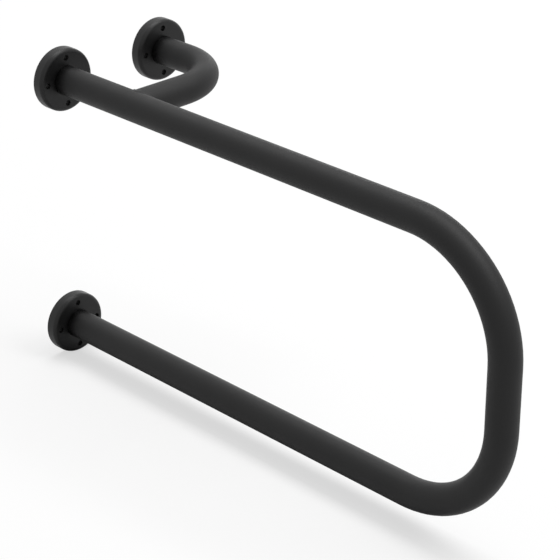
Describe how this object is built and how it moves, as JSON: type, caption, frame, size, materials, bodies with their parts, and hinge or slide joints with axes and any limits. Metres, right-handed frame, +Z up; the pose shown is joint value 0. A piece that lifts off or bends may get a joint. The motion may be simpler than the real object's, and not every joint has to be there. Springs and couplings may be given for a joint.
{
  "type": "wall grab rail",
  "caption": "Wall-fixed support rail: a round tube bent to a long U that stands out from the wall, braced by a bent side leg, held by round screw-on flanges with a rounded front edge.",
  "frame": {"origin": "centre of the upper flange, on the wall plane", "axes": "+X along the wall towards the side leg, +Y into the wall, +Z up; the rail stands out along -Y"},
  "size_m": [0.226, 0.7, 0.394],
  "materials": {
    "coating": "matt near-black coating with a very fine texture"
  },
  "bodies": {
    "root": {"main_rail": "coating", "side_leg": "coating", "leg_weld": "coating", "upper_flange": "coating", "upper_flange_weld": "coating", "lower_flange": "coating", "lower_flange_weld": "coating", "side_flange": "coating", "side_flange_weld": "coating"}
  },
  "joints": []
}
